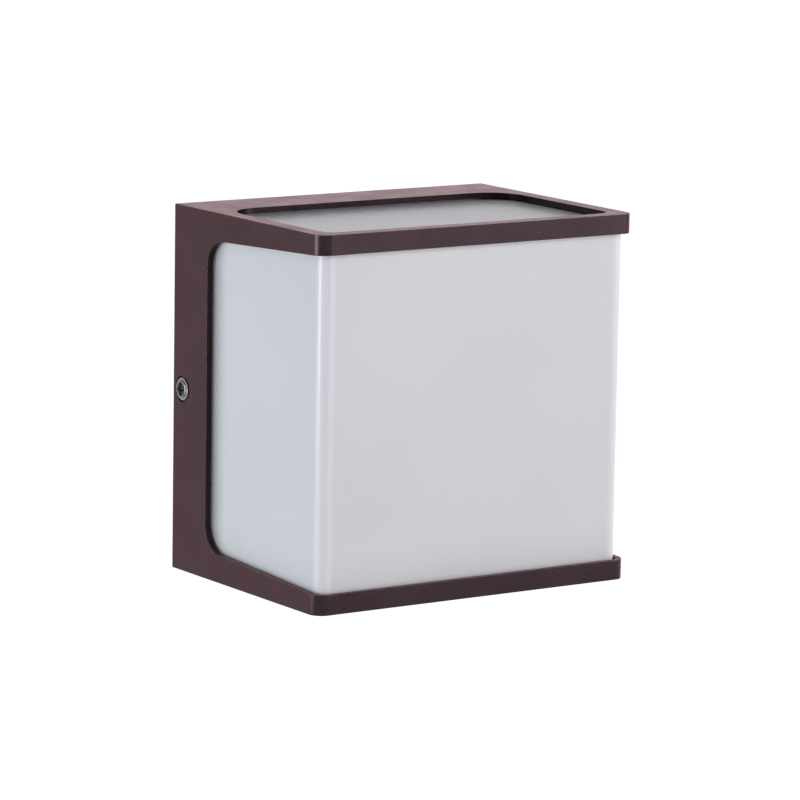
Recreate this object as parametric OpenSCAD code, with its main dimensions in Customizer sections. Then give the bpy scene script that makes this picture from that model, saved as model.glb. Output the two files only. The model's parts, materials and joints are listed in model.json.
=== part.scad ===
// Outdoor wall lantern: a square cast cage that carries an opal diffuser box,
// held by two side screws on a cast back plate with an E27 lampholder inside.
// The wall is the plane y = 0, the light stands out along -Y, and +Z is up.
// The origin is the centre of the face that lies on the wall.

/* [Cover] */
// Outside width of the cover
cover_w = 150; // [146:1:170]
// Outside height of the cover
cover_h = 150; // [148:1:170]
// Distance from the wall to the front bars
cover_d = 110; // [106:1:130]
// Wall thickness of the casting
cover_wall = 2.5; // [2.3:0.1:2.8]
// Thickness of the two front bars
front_lip = 2; // [1.6:0.1:2.4]
// Depth of the closed section behind the windows
back_section = 26; // [25:1:32]
// Height of the front bars
bar_h = 8; // [7:0.5:12]
// How much higher the side arms are at the back of the window
arm_rise = 3.8; // [0:0.2:6]
// Width of the strips beside the top and bottom windows
side_strip = 7; // [6:0.5:12]
// Width of the strip in front of the top and bottom windows
front_strip = 6.5; // [5:0.5:10]
// Corner radius of the side openings
window_r = 11.5; // [5:0.5:12]
// Radius at the back corners of the top and bottom windows
level_back_r = 15; // [8:0.5:16]
// Radius at the front corners of the top and bottom windows
level_front_r = 6; // [4:0.5:8]
// Radius of the two upright front corners
cover_r = 5.5; // [4:0.5:8]

/* [Diffuser] */
// Gap between the casting and the diffuser
diffuser_gap = 0.5; // [0.4:0.1:0.8]
// Wall thickness of the diffuser
diffuser_wall = 2.4; // [2:0.1:3]
// Radius of the diffuser's upright front corners
diffuser_r = 4.5; // [3.5:0.5:5]
// Radius of the diffuser's other edges
diffuser_edge_r = 2.6; // [2.5:0.1:3]

/* [Back plate] */
// Thickness of the wall gasket
gasket_t = 1.5; // [1:0.1:2]
// Thickness of the back plate's floor and walls
plate_t = 2; // [2:0.1:2.4]
// Distance from the wall to the edge of the back plate's walls
plate_d = 18.6; // [18:0.1:19]
// Distance between the two wall slots
slot_spacing = 80; // [70:1:90]
// Length of a wall slot, end to end
slot_len = 12; // [8:1:16]
// Width of a wall slot
slot_w = 5; // [4:0.5:6]
// Diameter of the cable bore in the grommet
cable_d = 8; // [6:0.5:10]

/* [Side screws] */
// Distance from the wall to the side screws
side_screw_y = 7.4; // [7:0.1:8]
// Thread diameter of the side screws
side_screw_d = 4; // [4:0.1:4.2]
// Length of the side screws under the collar
side_screw_len = 12; // [11:0.5:13]
// Diameter of the screw collar
collar_d = 9; // [8.5:0.1:9.5]

/* [Lampholder and bulb] */
// Distance from the wall to the upright lamp axis
lamp_y = 58; // [56:1:60]
// Diameter of the porcelain base
holder_d = 42; // [40:1:44]
// Height of the porcelain body
holder_h = 45; // [44:1:46]
// Diameter of the globe
globe_d = 45; // [42:1:46]
// Length of the bulb
bulb_len = 78; // [76:1:80]
// Thread diameter of the bulb's cap
cap_d = 26.06; // [26:0.02:26.1]
// Thread pitch of the bulb's cap
thread_pitch = 3.629; // [3.5:0.001:3.7]

/* [Hidden] */
$fn = 64;
eps = 0.01;
fit = 0.2;

// Cover
seat_gap = 0.4;
inner_x = cover_w / 2 - cover_wall;
inner_z = cover_h / 2 - cover_wall;
inner_r = cover_r - front_lip;
sill_front = cover_h / 2 - bar_h;
sill_back = sill_front - arm_rise;

// Diffuser and the parts behind its rim
diffuser_x = inner_x - diffuser_gap;
diffuser_z = inner_z - diffuser_gap;
diffuser_front = cover_d - front_lip - 0.4;
diffuser_rim = 20;
rim_gasket_t = 1.2;
bond_y = 21;
bond_len = 4;
bond_t = diffuser_gap - 0.1;

// Back plate
floor_y = gasket_t + plate_t;
boss_y = floor_y + 3.5;
slot_boss_r = slot_w / 2 + 3;
plate_corner_r = 2.6;
plate_x = diffuser_x;
plate_z = diffuser_z;
grommet = [-26, 44];
grommet_hole_r = 8;
grommet_flange = 2.5;
earth = [55, 8];
earth_boss_r = 5;
rib_z = 22;
rib_h = 2;
rib_w = 1.6;
weep_x = 30;
weep_size = [8, 6];
bracket_screw = [9, -44];
bracket_boss_r = 4.5;
bracket_pad_z = -61;
bracket_pad_size = [22, 3];
m4_hole_r = 2.05;
m4_r = 2;
pan_r = 4;
pan_h = 2.6;

// Side screws, along the outward direction from the middle plane
bore_floor_x = cover_w / 2 - 1.3;
bore_r = collar_d / 2 + 0.9;
seal_t = 0.8;
seat_x = bore_floor_x + seal_t;
collar_t = 0.8;
dome_h = 0.7;
slot_half = side_screw_d / 2 + 0.3;
nut_t = 3;
nut_x = plate_x - plate_t - fit - nut_t;

// Lampholder, heights measured from the middle plane
bracket_t = 1.5;
bracket_w = 34;
bracket_z = -diffuser_z + diffuser_wall + 3.6;
holder_z = bracket_z + bracket_t;
holder_foot_h = 16;
holder_screw_x = 14;
terminal_x = 9;
shell_z = 19;
shell_h = 24;
cavity_r = 14.4;
cavity_z = 17;

// Bulb, heights measured from its contact tip
tip_z = holder_z + cavity_z + 3.2;
tip_h = 2.2;
cap_z0 = 6;
cap_z1 = 28;
housing_z1 = 43.6;
globe_zc = bulb_len - globe_d / 2;
thread_depth = 0.45;
thread_turns = 5;
shell_t = 0.45;
shell_crest_r = cap_d / 2 + 0.07 + thread_depth + shell_t;

// Terminal block
block = [30, 43];
pole_pitch = 11;
pole_w = 9;
pole_screw_z = 4.5;
pole_bore_r = 2.6;
block_h = 17;
block_d = 13;
clamp_y = 9;
wire_r = 0.7;
sleeve_r = 1.2;

// Route of each inner lead: X, depth from the wall, Z
live_route = [[19, 8.3, 34], [19, 8.3, 28], [17, 8.5, 15], [12, 9, -2], [4, 11, -20],
              [-4, 18, -36], [-8, 28, -46], [-9, 34.5, -50.5], [-9, 35.7, -54]];
neutral_route = [[30, 8.3, 34], [29.5, 8.3, 27], [27, 8.5, 12], [23, 9, -5], [18, 11.5, -22],
                 [13, 18, -36], [10, 28, -46], [9, 34.5, -50.5], [9, 35.7, -54]];
earth_route = [[41, 8.3, 34], [41.5, 8.3, 31], [44, 8.4, 27.5], [49, 8.6, 26], [53.5, 8.7, 24],
               [55, 8.7, 19.4]];

// ---------------------------------------------------------------- helpers

// A rectangle of w by h with round corners, centred
module rounded_rect(w, h, r) {
    square([w - 2 * r, h], center = true);
    square([w, h - 2 * r], center = true);
    for (sx = [-1, 1], sy = [-1, 1])
        translate([sx * (w / 2 - r), sy * (h / 2 - r)]) circle(r);
}

// A slot outline along X, l long and w wide
module slot_outline(l, w) {
    square([l - w, w], center = true);
    for (s = [-1, 1]) translate([s * (l - w) / 2, 0]) circle(w / 2);
}

// A rectangle from depth d0 to depth d1 whose two front corners are round
module front_rounded(half, d0, d1, r) {
    translate([-half, -d1 + r]) square([2 * half, d1 - r - d0]);
    translate([-half + r, -d1]) square([2 * (half - r), r + eps]);
    for (s = [-1, 1]) translate([s * (half - r), -d1 + r]) circle(r);
}

// Extrudes an XZ outline from depth d0 to depth d1
module out_from(d0, d1) {
    translate([0, -d0, 0]) rotate([90, 0, 0]) linear_extrude(d1 - d0) children();
}

// A round bar or hole along Y, from depth d0 to depth d1, at [x, z]
module post(at, d0, d1, r) {
    translate([at[0], -d0, at[1]]) rotate([90, 0, 0]) cylinder(h = d1 - d0, r = r);
}

// A box closed at the front, with round edges, open or cut at depth d0
module box_form(half_x, half_z, d0, d1, r_upright, r_edge) {
    intersection() {
        translate([0, 0, -half_z]) linear_extrude(2 * half_z)
            front_rounded(half_x, d0, d1, r_upright);
        rotate([0, 90, 0]) translate([0, 0, -half_x]) linear_extrude(2 * half_x)
            front_rounded(half_z, d0, d1, r_edge);
        out_from(d0, d1) rounded_rect(2 * half_x, 2 * half_z, r_edge);
    }
}

// Cross recess, cut down from the top of a head at z = 0
module cross_recess(size, depth) {
    for (a = [0, 90]) rotate(a)
        translate([0, 0, -depth / 2]) cube([size, size * 0.22, depth + eps], center = true);
    translate([0, 0, -depth]) cylinder(h = depth + eps, r1 = size * 0.1, r2 = size * 0.26);
}

// Head with a rounded shoulder, standing on z = 0
module round_head(r, h) {
    rotate_extrude() intersection() {
        union() {
            square([r - h * 0.7, h]);
            square([r, h * 0.3]);
            translate([r - h * 0.7, h * 0.3]) circle(h * 0.7);
        }
        square([r, h]);
    }
}

// Pan head screw: seat on z = 0, head up, shank down
module pan_screw(d, head_r, head_h, len) {
    difference() {
        union() {
            round_head(head_r, head_h);
            translate([0, 0, -len + 0.5]) cylinder(h = len, d = d);
            translate([0, 0, -len]) cylinder(h = 0.5 + eps, d1 = d - 1, d2 = d);
        }
        translate([0, 0, head_h]) cross_recess(head_r * 1.2, head_h * 0.65);
    }
}

// Points a head along -Y, towards the front, at [x, z] and depth d
module facing_front(at, d) {
    translate([at[0], -d, at[1]]) rotate([90, 0, 0]) children();
}

// Points along the outward direction of one side: s = -1 left, s = 1 right
module facing_side(s, x) {
    translate([s * x, -side_screw_y, 0]) rotate([0, s * 90, 0]) children();
}

// Smooth curve through a list of points
function curve_point(a, b, c, d, t) =
    0.5 * (2 * b + (c - a) * t + (2 * a - 5 * b + 4 * c - d) * t * t
           + (3 * b - a - 3 * c + d) * t * t * t);
function curve(p, n) = concat(
    [for (i = [0 : len(p) - 2], j = [0 : n - 1])
        curve_point(p[max(i - 1, 0)], p[i], p[i + 1], p[min(i + 2, len(p) - 1)], j / n)],
    [p[len(p) - 1]]);
function unit(v) = v / norm(v);
function heading(p, i) = unit(p[min(i + 1, len(p) - 1)] - p[max(i - 1, 0)]);

// Insulated wire swept along points given as X, depth, Z. It is bare from the
// first point up to height bare0, and from the last point down to height bare1.
module insulated_wire(route, bare0, bare1, sides = 8) {
    sleeve = [for (q = curve(route, 3)) [q[0], -q[1], q[2]]];
    first = sleeve[0];
    last = sleeve[len(sleeve) - 1];
    p = concat([[first[0], first[1], bare0], first], sleeve,
               [last, [last[0], last[1], bare1]]);
    rings = len(p);
    points = [for (i = [0 : rings - 1])
        let (t = heading(p, i), u = unit(cross(t, [0.3, 1, 0])), v = cross(t, u),
             r = i < 2 || i > rings - 3 ? wire_r : sleeve_r)
        for (k = [0 : sides - 1])
            p[i] + r * (cos(k * 360 / sides) * u + sin(k * 360 / sides) * v)];
    skin = [for (i = [0 : rings - 2], k = [0 : sides - 1])
        let (a = i * sides + k, b = i * sides + (k + 1) % sides)
        each [[a, b + sides, b], [a, a + sides, b + sides]]];
    ends = [[for (k = [0 : sides - 1]) k],
            [for (k = [sides - 1 : -1 : 0]) (rings - 1) * sides + k]];
    polyhedron(points, concat(skin, ends), convexity = 6);
}

// Radius of a rounded thread at height z above its start
function thread_wave(z) = (1 - cos(360 * z / thread_pitch)) / 2 * thread_depth;

// ---------------------------------------------------------------- base on the wall

module wall_boss_outlines(extra) {
    for (s = [-1, 1]) translate([s * slot_spacing / 2, 0])
        slot_outline(slot_len + 6 + 2 * extra, 2 * slot_boss_r + 2 * extra);
}

module wall_gasket() {
    color("dimgray")
    out_from(0, gasket_t) difference() {
        rounded_rect(2 * plate_x - 4, 2 * plate_z - 4, plate_corner_r);
        wall_boss_outlines(0.5);
        translate(grommet) circle(grommet_hole_r + grommet_flange + 1.5);
    }
}

module back_plate() {
    color("gray")
    difference() {
        union() {
            difference() {
                out_from(gasket_t, plate_d)
                    rounded_rect(2 * plate_x, 2 * plate_z, plate_corner_r);
                out_from(floor_y, plate_d + 1)
                    rounded_rect(2 * (plate_x - plate_t), 2 * (plate_z - plate_t), 1);
            }
            out_from(0, floor_y + 1.5) wall_boss_outlines(0);
            post(earth, floor_y - eps, boss_y, earth_boss_r);
            for (s = [-1, 1])
                post([s * bracket_screw[0], bracket_screw[1]], floor_y - eps, boss_y,
                     bracket_boss_r);
            out_from(floor_y - eps, boss_y) translate([0, bracket_pad_z])
                square(bracket_pad_size, center = true);
            for (s = [-1, 1]) out_from(floor_y - eps, floor_y + rib_h) translate([0, s * rib_z])
                square([2 * (plate_x - plate_t) + eps, rib_w], center = true);
        }
        for (s = [-1, 1]) out_from(-1, floor_y + 3) translate([s * slot_spacing / 2, 0])
            slot_outline(slot_len, slot_w);
        post(grommet, -1, floor_y + 1, grommet_hole_r);
        post(earth, gasket_t + 1, boss_y + 1, m4_hole_r);
        for (s = [-1, 1])
            post([s * bracket_screw[0], bracket_screw[1]], gasket_t + 1, boss_y + 1, m4_hole_r);
        post([block[0] - pole_pitch / 2, block[1]], gasket_t + 0.6, floor_y + 1, 1.55);
        for (s = [-1, 1]) {
            translate([s * (plate_x - plate_t / 2), -(side_screw_y + plate_d + 1) / 2, 0])
                cube([plate_t + 1, plate_d + 1 - side_screw_y, 2 * slot_half], center = true);
            facing_side(s, plate_x - plate_t - 0.5) cylinder(h = plate_t + 1, r = slot_half);
        }
        for (s = [-1, 1]) translate([s * weep_x, -plate_d, -plate_z])
            cube([weep_size[0], weep_size[1], 3 * plate_t], center = true);
    }
}

module cable_grommet() {
    wall_gap = 0.1;
    flange_t = 1.8;
    grommet_nose = 6;
    color([0.12, 0.12, 0.12])
    translate([grommet[0], 0, grommet[1]]) rotate([90, 0, 0])
    rotate_extrude() difference() {
        union() {
            translate([0, wall_gap]) square([grommet_hole_r + grommet_flange, gasket_t - wall_gap]);
            translate([0, wall_gap]) square([grommet_hole_r - 0.1, floor_y + 1]);
            translate([0, floor_y]) square([grommet_hole_r + grommet_flange, flange_t]);
            polygon([[0, floor_y + 1], [grommet_hole_r, floor_y + flange_t],
                     [cable_d / 2 + 1.6, floor_y + grommet_nose], [0, floor_y + grommet_nose]]);
        }
        translate([0, -1]) square([cable_d / 2, floor_y + grommet_nose + 2]);
    }
}

// ---------------------------------------------------------------- wiring

function pole_x(i) = block[0] + (i - 1) * pole_pitch;

module terminal_block() {
    color("ivory")
    difference() {
        union() {
            for (i = [0 : 2]) translate([pole_x(i), 0, block[1]])
                out_from(floor_y, floor_y + block_d) rounded_rect(pole_w, block_h, 1);
            translate([block[0], 0, block[1]])
                out_from(floor_y, floor_y + 5)
                square([2 * pole_pitch + 2, block_h - 5], center = true);
        }
        for (i = [0 : 2]) {
            translate([pole_x(i), -clamp_y, block[1]])
                cylinder(h = block_h + 2, r = pole_bore_r, center = true);
            for (s = [-1, 1])
                post([pole_x(i), block[1] + s * pole_screw_z], clamp_y, floor_y + block_d + 1, 2.1);
        }
        for (i = [-1, 1]) {
            post([block[0] + i * pole_pitch / 2, block[1]], floor_y - 1, floor_y + 6, 1.7);
            post([block[0] + i * pole_pitch / 2, block[1]], floor_y + 5, floor_y + block_d + 1, 2.9);
        }
    }
}

module terminal_clamps() {
    color("goldenrod")
    for (i = [0 : 2]) difference() {
        translate([pole_x(i), -clamp_y, block[1]])
            cylinder(h = block_h - 1, r = pole_bore_r - 0.1, center = true);
        translate([pole_x(i), -clamp_y, block[1]])
            cylinder(h = block_h, r = 1.5, center = true);
        for (s = [-1, 1])
            post([pole_x(i), block[1] + s * pole_screw_z], clamp_y, clamp_y + 4, 1.35);
    }
}

module terminal_screws() {
    color("lightgray")
    for (i = [0 : 2], s = [-1, 1])
        facing_front([pole_x(i), block[1] + s * pole_screw_z], clamp_y + 3.6)
        difference() {
            union() {
                cylinder(h = 1.6, r = 1.95);
                translate([0, 0, -3.5]) cylinder(h = 3.6, r = 1.3);
            }
            translate([0, 0, 1.4]) rotate(20 * (i + s)) cube([5, 0.7, 1.2], center = true);
        }
}

module terminal_block_screw() {
    color("lightgray")
    facing_front([block[0] - pole_pitch / 2, block[1]], floor_y + 5)
        pan_screw(3, 2.6, 1.8, 6.2);
}

module earth_ring_terminal() {
    color("silver")
    difference() {
        union() {
            post(earth, boss_y, boss_y + 0.8, 4);
            out_from(boss_y, boss_y + 0.8) translate([earth[0], earth[1] + 5])
                square([4.4, 5], center = true);
            translate([earth[0], -boss_y - 1.7, earth[1] + 5.5]) cylinder(h = 5.5, r = 1.7);
        }
        post(earth, boss_y - 1, boss_y + 2, 2.15);
        translate([earth[0], -boss_y - 1.7, earth[1] + 6.5]) cylinder(h = 5.5, r = wire_r + 0.1);
    }
}

module earth_washer() {
    color("silver")
    difference() {
        post(earth, boss_y + 0.8, boss_y + 1.6, 3.9);
        post(earth, boss_y, boss_y + 2, 2.15);
        for (a = [0 : 45 : 315])
            facing_front(earth, boss_y + 1.2) rotate(a)
                translate([3.7, 0, 0]) cube([1.4, 1, 2], center = true);
    }
}

module earth_screw() {
    color("silver")
    facing_front(earth, boss_y + 1.6) pan_screw(2 * m4_r, pan_r, pan_h, 6);
}

module lead_live() {
    color("saddlebrown") insulated_wire(live_route, 39.5, -59.5);
}

module lead_neutral() {
    color("royalblue") insulated_wire(neutral_route, 39.5, -59.5);
}

module lead_earth() {
    color("yellowgreen") insulated_wire(earth_route, 39.5, 14.8);
}

// ---------------------------------------------------------------- lampholder

module holder_bracket() {
    upright_h = 30;
    gusset_l = 18;
    gusset_h = 20;
    color("silver")
    difference() {
        union() {
            translate([-bracket_w / 2, -boss_y - bracket_t, bracket_z])
                cube([bracket_w, bracket_t, upright_h]);
            translate([0, 0, bracket_z]) linear_extrude(bracket_t) {
                translate([-bracket_w / 2, -lamp_y - 10])
                    square([bracket_w, lamp_y + 10 - boss_y]);
                translate([0, -lamp_y - 5]) circle(bracket_w / 2);
            }
            for (s = [-1, 1])
                translate([s * (bracket_w - bracket_t) / 2, 0, bracket_z])
                rotate([90, 0, 90]) linear_extrude(bracket_t, center = true)
                polygon([[-boss_y, 0], [-boss_y - gusset_l, 0], [-boss_y - gusset_l, bracket_t],
                         [-boss_y - bracket_t, gusset_h], [-boss_y, gusset_h]]);
        }
        for (s = [-1, 1]) {
            post([s * bracket_screw[0], bracket_screw[1]], boss_y - 1, boss_y + 3, 2.2);
            translate([s * holder_screw_x, -lamp_y, bracket_z - 1]) cylinder(h = 4, r = 2.2);
        }
    }
}

module bracket_screws() {
    color("silver")
    for (s = [-1, 1])
        facing_front([s * bracket_screw[0], bracket_screw[1]], boss_y + bracket_t)
            pan_screw(2 * m4_r, pan_r, pan_h, 6);
}

module terminal_pocket(extra) {
    for (s = [-1, 1])
        translate([s * terminal_x, -37, -57.5])
            cube([7 + 2 * extra, 8 + 2 * extra, 7 + 2 * extra], center = true);
}

module lampholder_body() {
    color("whitesmoke")
    difference() {
        translate([0, -lamp_y, holder_z]) rotate_extrude() difference() {
            union() {
                square([holder_d / 2, holder_foot_h - 1.5]);
                square([holder_d / 2 - 1.5, holder_foot_h]);
                translate([holder_d / 2 - 1.5, holder_foot_h - 1.5]) circle(1.5);
                square([holder_d / 2 - 2, holder_h - 1.5]);
                square([holder_d / 2 - 3.5, holder_h]);
                translate([holder_d / 2 - 3.5, holder_h - 1.5]) circle(1.5);
            }
            translate([0, cavity_z]) square([cavity_r, holder_h]);
            polygon([[0, holder_h - 1.2], [cavity_r, holder_h - 1.2],
                     [cavity_r + 1.2, holder_h + eps], [0, holder_h + eps]]);
        }
        for (s = [-1, 1])
            translate([s * holder_screw_x, -lamp_y, holder_z - 1]) cylinder(h = 8, r = m4_hole_r);
        translate([-8, -lamp_y, holder_z + cavity_z - 3]) cylinder(h = 4, r = 1.6);
        terminal_pocket(0.15);
    }
}

module thread_profile(r_crest, wall, height, z0) {
    steps = 8;
    n = thread_turns * steps;
    pts = [for (i = [0 : n])
        [r_crest - thread_depth + thread_wave(i * thread_pitch / steps),
         z0 + i * thread_pitch / steps]];
    polygon(concat([[r_crest - thread_depth, 0]], pts,
                   [[r_crest - thread_depth, height], [r_crest - thread_depth - wall, height]],
                   [for (i = [n : -1 : 0]) pts[i] - [wall, 0]],
                   [[r_crest - thread_depth - wall, 0]]));
}

module lampholder_shell() {
    color("goldenrod")
    translate([0, -lamp_y, holder_z + shell_z])
    rotate_extrude() {
        thread_profile(shell_crest_r, shell_t, shell_h, 2);
        translate([9, 0]) square([shell_crest_r - thread_depth - 9, shell_t]);
    }
}

module centre_contact() {
    color("goldenrod") {
        translate([0, -lamp_y, holder_z + cavity_z]) rotate([90, 0, 0])
        linear_extrude(5, center = true)
        polygon([[-11, 0.05], [-5, 0.05], [-1.5, 2.55], [2, 2.55], [5, 1.6], [5, 2],
                 [2, 3], [-1.7, 3], [-5.2, 0.5], [-11, 0.5]]);
        translate([-8, -lamp_y, holder_z + cavity_z - 2.5]) cylinder(h = 3, r = 1.5);
        translate([-8, -lamp_y, holder_z + cavity_z + 0.4]) cylinder(h = 0.9, r = 2.3);
    }
}

module holder_screws() {
    color("silver")
    for (s = [-1, 1])
        translate([s * holder_screw_x, -lamp_y, bracket_z]) rotate([180, 0, 0])
            pan_screw(2 * m4_r, pan_r, 2.2, 8);
}

module holder_terminals() {
    color("goldenrod")
    difference() {
        terminal_pocket(0);
        for (s = [-1, 1]) {
            translate([s * terminal_x, -35.7, -62]) cylinder(h = 9, r = 1.2);
            post([s * terminal_x, -57.5], 32, 36, 1.3);
        }
    }
}

module holder_terminal_screws() {
    color("lightgray")
    for (s = [-1, 1])
        translate([s * terminal_x, -33, -57.5]) rotate([-90, 0, 0])
        difference() {
            union() {
                cylinder(h = 1.7, r = 2.4);
                translate([0, 0, -1.9]) cylinder(h = 2, r = 1.25);
            }
            translate([0, 0, 1.5]) rotate(35 * s) cube([6, 0.8, 1.2], center = true);
        }
}

// ---------------------------------------------------------------- cover

// Outline, in depth and height, of the opening that runs out through the front
module side_opening() {
    slope = (sill_front - sill_back) / (cover_d - back_section);
    tilt = sqrt(1 + slope * slope);
    round_z = sill_back + slope * window_r - window_r * tilt;
    touch = [-back_section - window_r + window_r * slope / tilt, round_z + window_r / tilt];
    past = cover_d + 2;
    end_z = sill_back + slope * (past - back_section);
    polygon([[-back_section, -round_z], [-back_section, round_z], touch, [-past, end_z],
             [-past, -end_z], [touch[0], -touch[1]]]);
    for (s = [-1, 1]) translate([-back_section - window_r, s * round_z]) circle(window_r);
}

// Outline of the top and bottom windows, wider curves at the back than in front
module level_opening() {
    half = cover_w / 2 - side_strip;
    front = cover_d - front_strip;
    middle = front - level_front_r - back_section - level_back_r;
    translate([-half + level_back_r, -back_section - level_back_r - eps])
        square([2 * (half - level_back_r), level_back_r + eps]);
    translate([-half, -front + level_front_r]) square([2 * half, middle]);
    translate([-half + level_front_r, -front])
        square([2 * (half - level_front_r), level_front_r + eps]);
    for (s = [-1, 1]) {
        translate([s * (half - level_back_r), -back_section - level_back_r]) circle(level_back_r);
        translate([s * (half - level_front_r), -front + level_front_r]) circle(level_front_r);
    }
}

module frame() {
    color([0.29, 0.22, 0.23])
    difference() {
        translate([0, 0, -cover_h / 2]) linear_extrude(cover_h)
            front_rounded(cover_w / 2, seat_gap, cover_d, cover_r);
        translate([0, 0, -inner_z]) linear_extrude(2 * inner_z)
            front_rounded(inner_x, -1, cover_d - front_lip, inner_r);
        rotate([90, 0, 90]) linear_extrude(cover_w + 2, center = true) side_opening();
        linear_extrude(cover_h + 2, center = true) level_opening();
        for (s = [-1, 1]) {
            facing_side(s, inner_x - 1) cylinder(h = cover_wall + 2, r = side_screw_d / 2 + 0.3);
            facing_side(s, bore_floor_x) cylinder(h = 5, r = bore_r);
        }
    }
}

module diffuser() {
    color([0.93, 0.94, 0.95, 0.92])
    difference() {
        box_form(diffuser_x, diffuser_z, diffuser_rim, diffuser_front,
                 diffuser_r, diffuser_edge_r);
        box_form(diffuser_x - diffuser_wall, diffuser_z - diffuser_wall, diffuser_rim - 1,
                 diffuser_front - diffuser_wall, diffuser_r - diffuser_wall + 0.4, 1);
    }
}

module diffuser_gasket() {
    color("darkgray")
    out_from(diffuser_rim - rim_gasket_t, diffuser_rim) difference() {
        rounded_rect(2 * diffuser_x, 2 * diffuser_z, diffuser_edge_r);
        rounded_rect(2 * (diffuser_x - diffuser_wall), 2 * (diffuser_z - diffuser_wall), 1);
    }
}

module diffuser_bond() {
    color("white")
    out_from(bond_y, bond_y + bond_len) difference() {
        square([2 * (diffuser_x + bond_t), 2 * (diffuser_z + bond_t)] + [0.1, 0.1], center = true);
        rounded_rect(2 * diffuser_x + 0.1, 2 * diffuser_z + 0.1, diffuser_edge_r);
    }
}

module clamp_nuts() {
    nut_front = side_screw_y + 5.4;
    color("silver")
    for (s = [-1, 1]) difference() {
        union() {
            translate([s * (nut_x + nut_t / 2), -(nut_front + floor_y + 0.5) / 2, 0])
                cube([nut_t, nut_front - floor_y - 0.5, 12], center = true);
            translate([s * (nut_x + nut_t + 0.9), -nut_front + 1.5, 0])
                cube([1.8 + eps, 3, 2 * slot_half - 0.4], center = true);
        }
        facing_side(s, nut_x - 1) cylinder(h = nut_t + 4, r = side_screw_d / 2 + 0.05);
    }
}

module side_seal(s) {
    color([0.1, 0.1, 0.1])
    facing_side(s, bore_floor_x) difference() {
        cylinder(h = seal_t, r = bore_r - 0.3);
        translate([0, 0, -1]) cylinder(h = seal_t + 2, r = side_screw_d / 2 + 0.1);
    }
}

module side_screw(s) {
    color("silver")
    facing_side(s, seat_x) difference() {
        union() {
            cylinder(h = collar_t, d = collar_d);
            translate([0, 0, collar_t]) round_head(collar_d / 2 - 0.8, dome_h);
            translate([0, 0, -side_screw_len + 0.5])
                cylinder(h = side_screw_len, d = side_screw_d);
            translate([0, 0, -side_screw_len])
                cylinder(h = 0.5 + eps, d1 = side_screw_d - 1, d2 = side_screw_d);
        }
        translate([0, 0, collar_t + dome_h]) cross_recess(5.4, 1.1);
    }
}

module side_seal_left() { side_seal(-1); }
module side_seal_right() { side_seal(1); }
module side_screw_left() { side_screw(-1); }
module side_screw_right() { side_screw(1); }

// ---------------------------------------------------------------- bulb

// Places a shape on the lamp axis, with its zero height at the bulb's tip
module on_tip() {
    translate([0, -lamp_y, tip_z]) children();
}

module bulb_tip() {
    color("silver")
    on_tip() rotate_extrude() intersection() {
        union() {
            square([3, tip_h]);
            translate([3, 1.8]) circle(1.8);
        }
        square([4.8, tip_h]);
    }
}

module bulb_insulator() {
    color([0.12, 0.1, 0.1])
    on_tip() translate([0, 0, tip_h + 0.05]) cylinder(h = 4.4, r1 = 5.6, r2 = 11.3);
}

module bulb_cap() {
    color("silver")
    on_tip() rotate_extrude() {
        translate([0, cap_z0]) thread_profile(cap_d / 2, 0.4, cap_z1 - cap_z0, 1);
        translate([11.6, cap_z0]) square([1, 0.4]);
    }
}

module bulb_housing() {
    neck_r = cap_d / 2 - thread_depth - 0.5;
    color("white")
    on_tip() rotate_extrude() polygon([
        [neck_r - 1.4, cap_z1 - 6], [neck_r, cap_z1 - 6], [neck_r, cap_z1 + 0.1],
        [13.4, cap_z1 + 0.1], [13.6, cap_z1 + 1.5], [18.6, housing_z1 - 2.5],
        [18.9, housing_z1], [17.3, housing_z1], [17.3, housing_z1 - 1.8],
        [16, housing_z1 - 3.5], [neck_r - 1.4, cap_z1 + 2]]);
}

module bulb_led_board() {
    color("lightyellow")
    on_tip() {
        translate([0, 0, housing_z1 - 1.7]) cylinder(h = 1.2, r = 17.1);
        for (a = [0 : 45 : 315]) rotate(a)
            translate([11, 0, housing_z1 - 0.2]) cube([3, 3, 0.7], center = true);
    }
}

module bulb_globe() {
    r = globe_d / 2;
    color([0.97, 0.97, 0.96, 0.95])
    on_tip() translate([0, 0, globe_zc]) rotate_extrude() intersection() {
        difference() {
            circle(r);
            circle(r - 1.2);
        }
        translate([0, housing_z1 + 0.2 - globe_zc]) square([r + 1, globe_d]);
    }
}

// ---------------------------------------------------------------- nodes

wall_gasket();
back_plate();
cable_grommet();
terminal_block();
terminal_clamps();
terminal_screws();
terminal_block_screw();
earth_ring_terminal();
earth_washer();
earth_screw();
holder_bracket();
bracket_screws();
lampholder_body();
lampholder_shell();
centre_contact();
holder_screws();
holder_terminals();
holder_terminal_screws();
lead_live();
lead_neutral();
lead_earth();
frame();
diffuser();
diffuser_gasket();
diffuser_bond();
clamp_nuts();
side_seal_left();
side_screw_left();
side_seal_right();
side_screw_right();
bulb_tip();
bulb_insulator();
bulb_cap();
bulb_housing();
bulb_led_board();
bulb_globe();
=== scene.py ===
import json
import math

import bmesh
import bpy
from mathutils import Matrix, Vector


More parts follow.
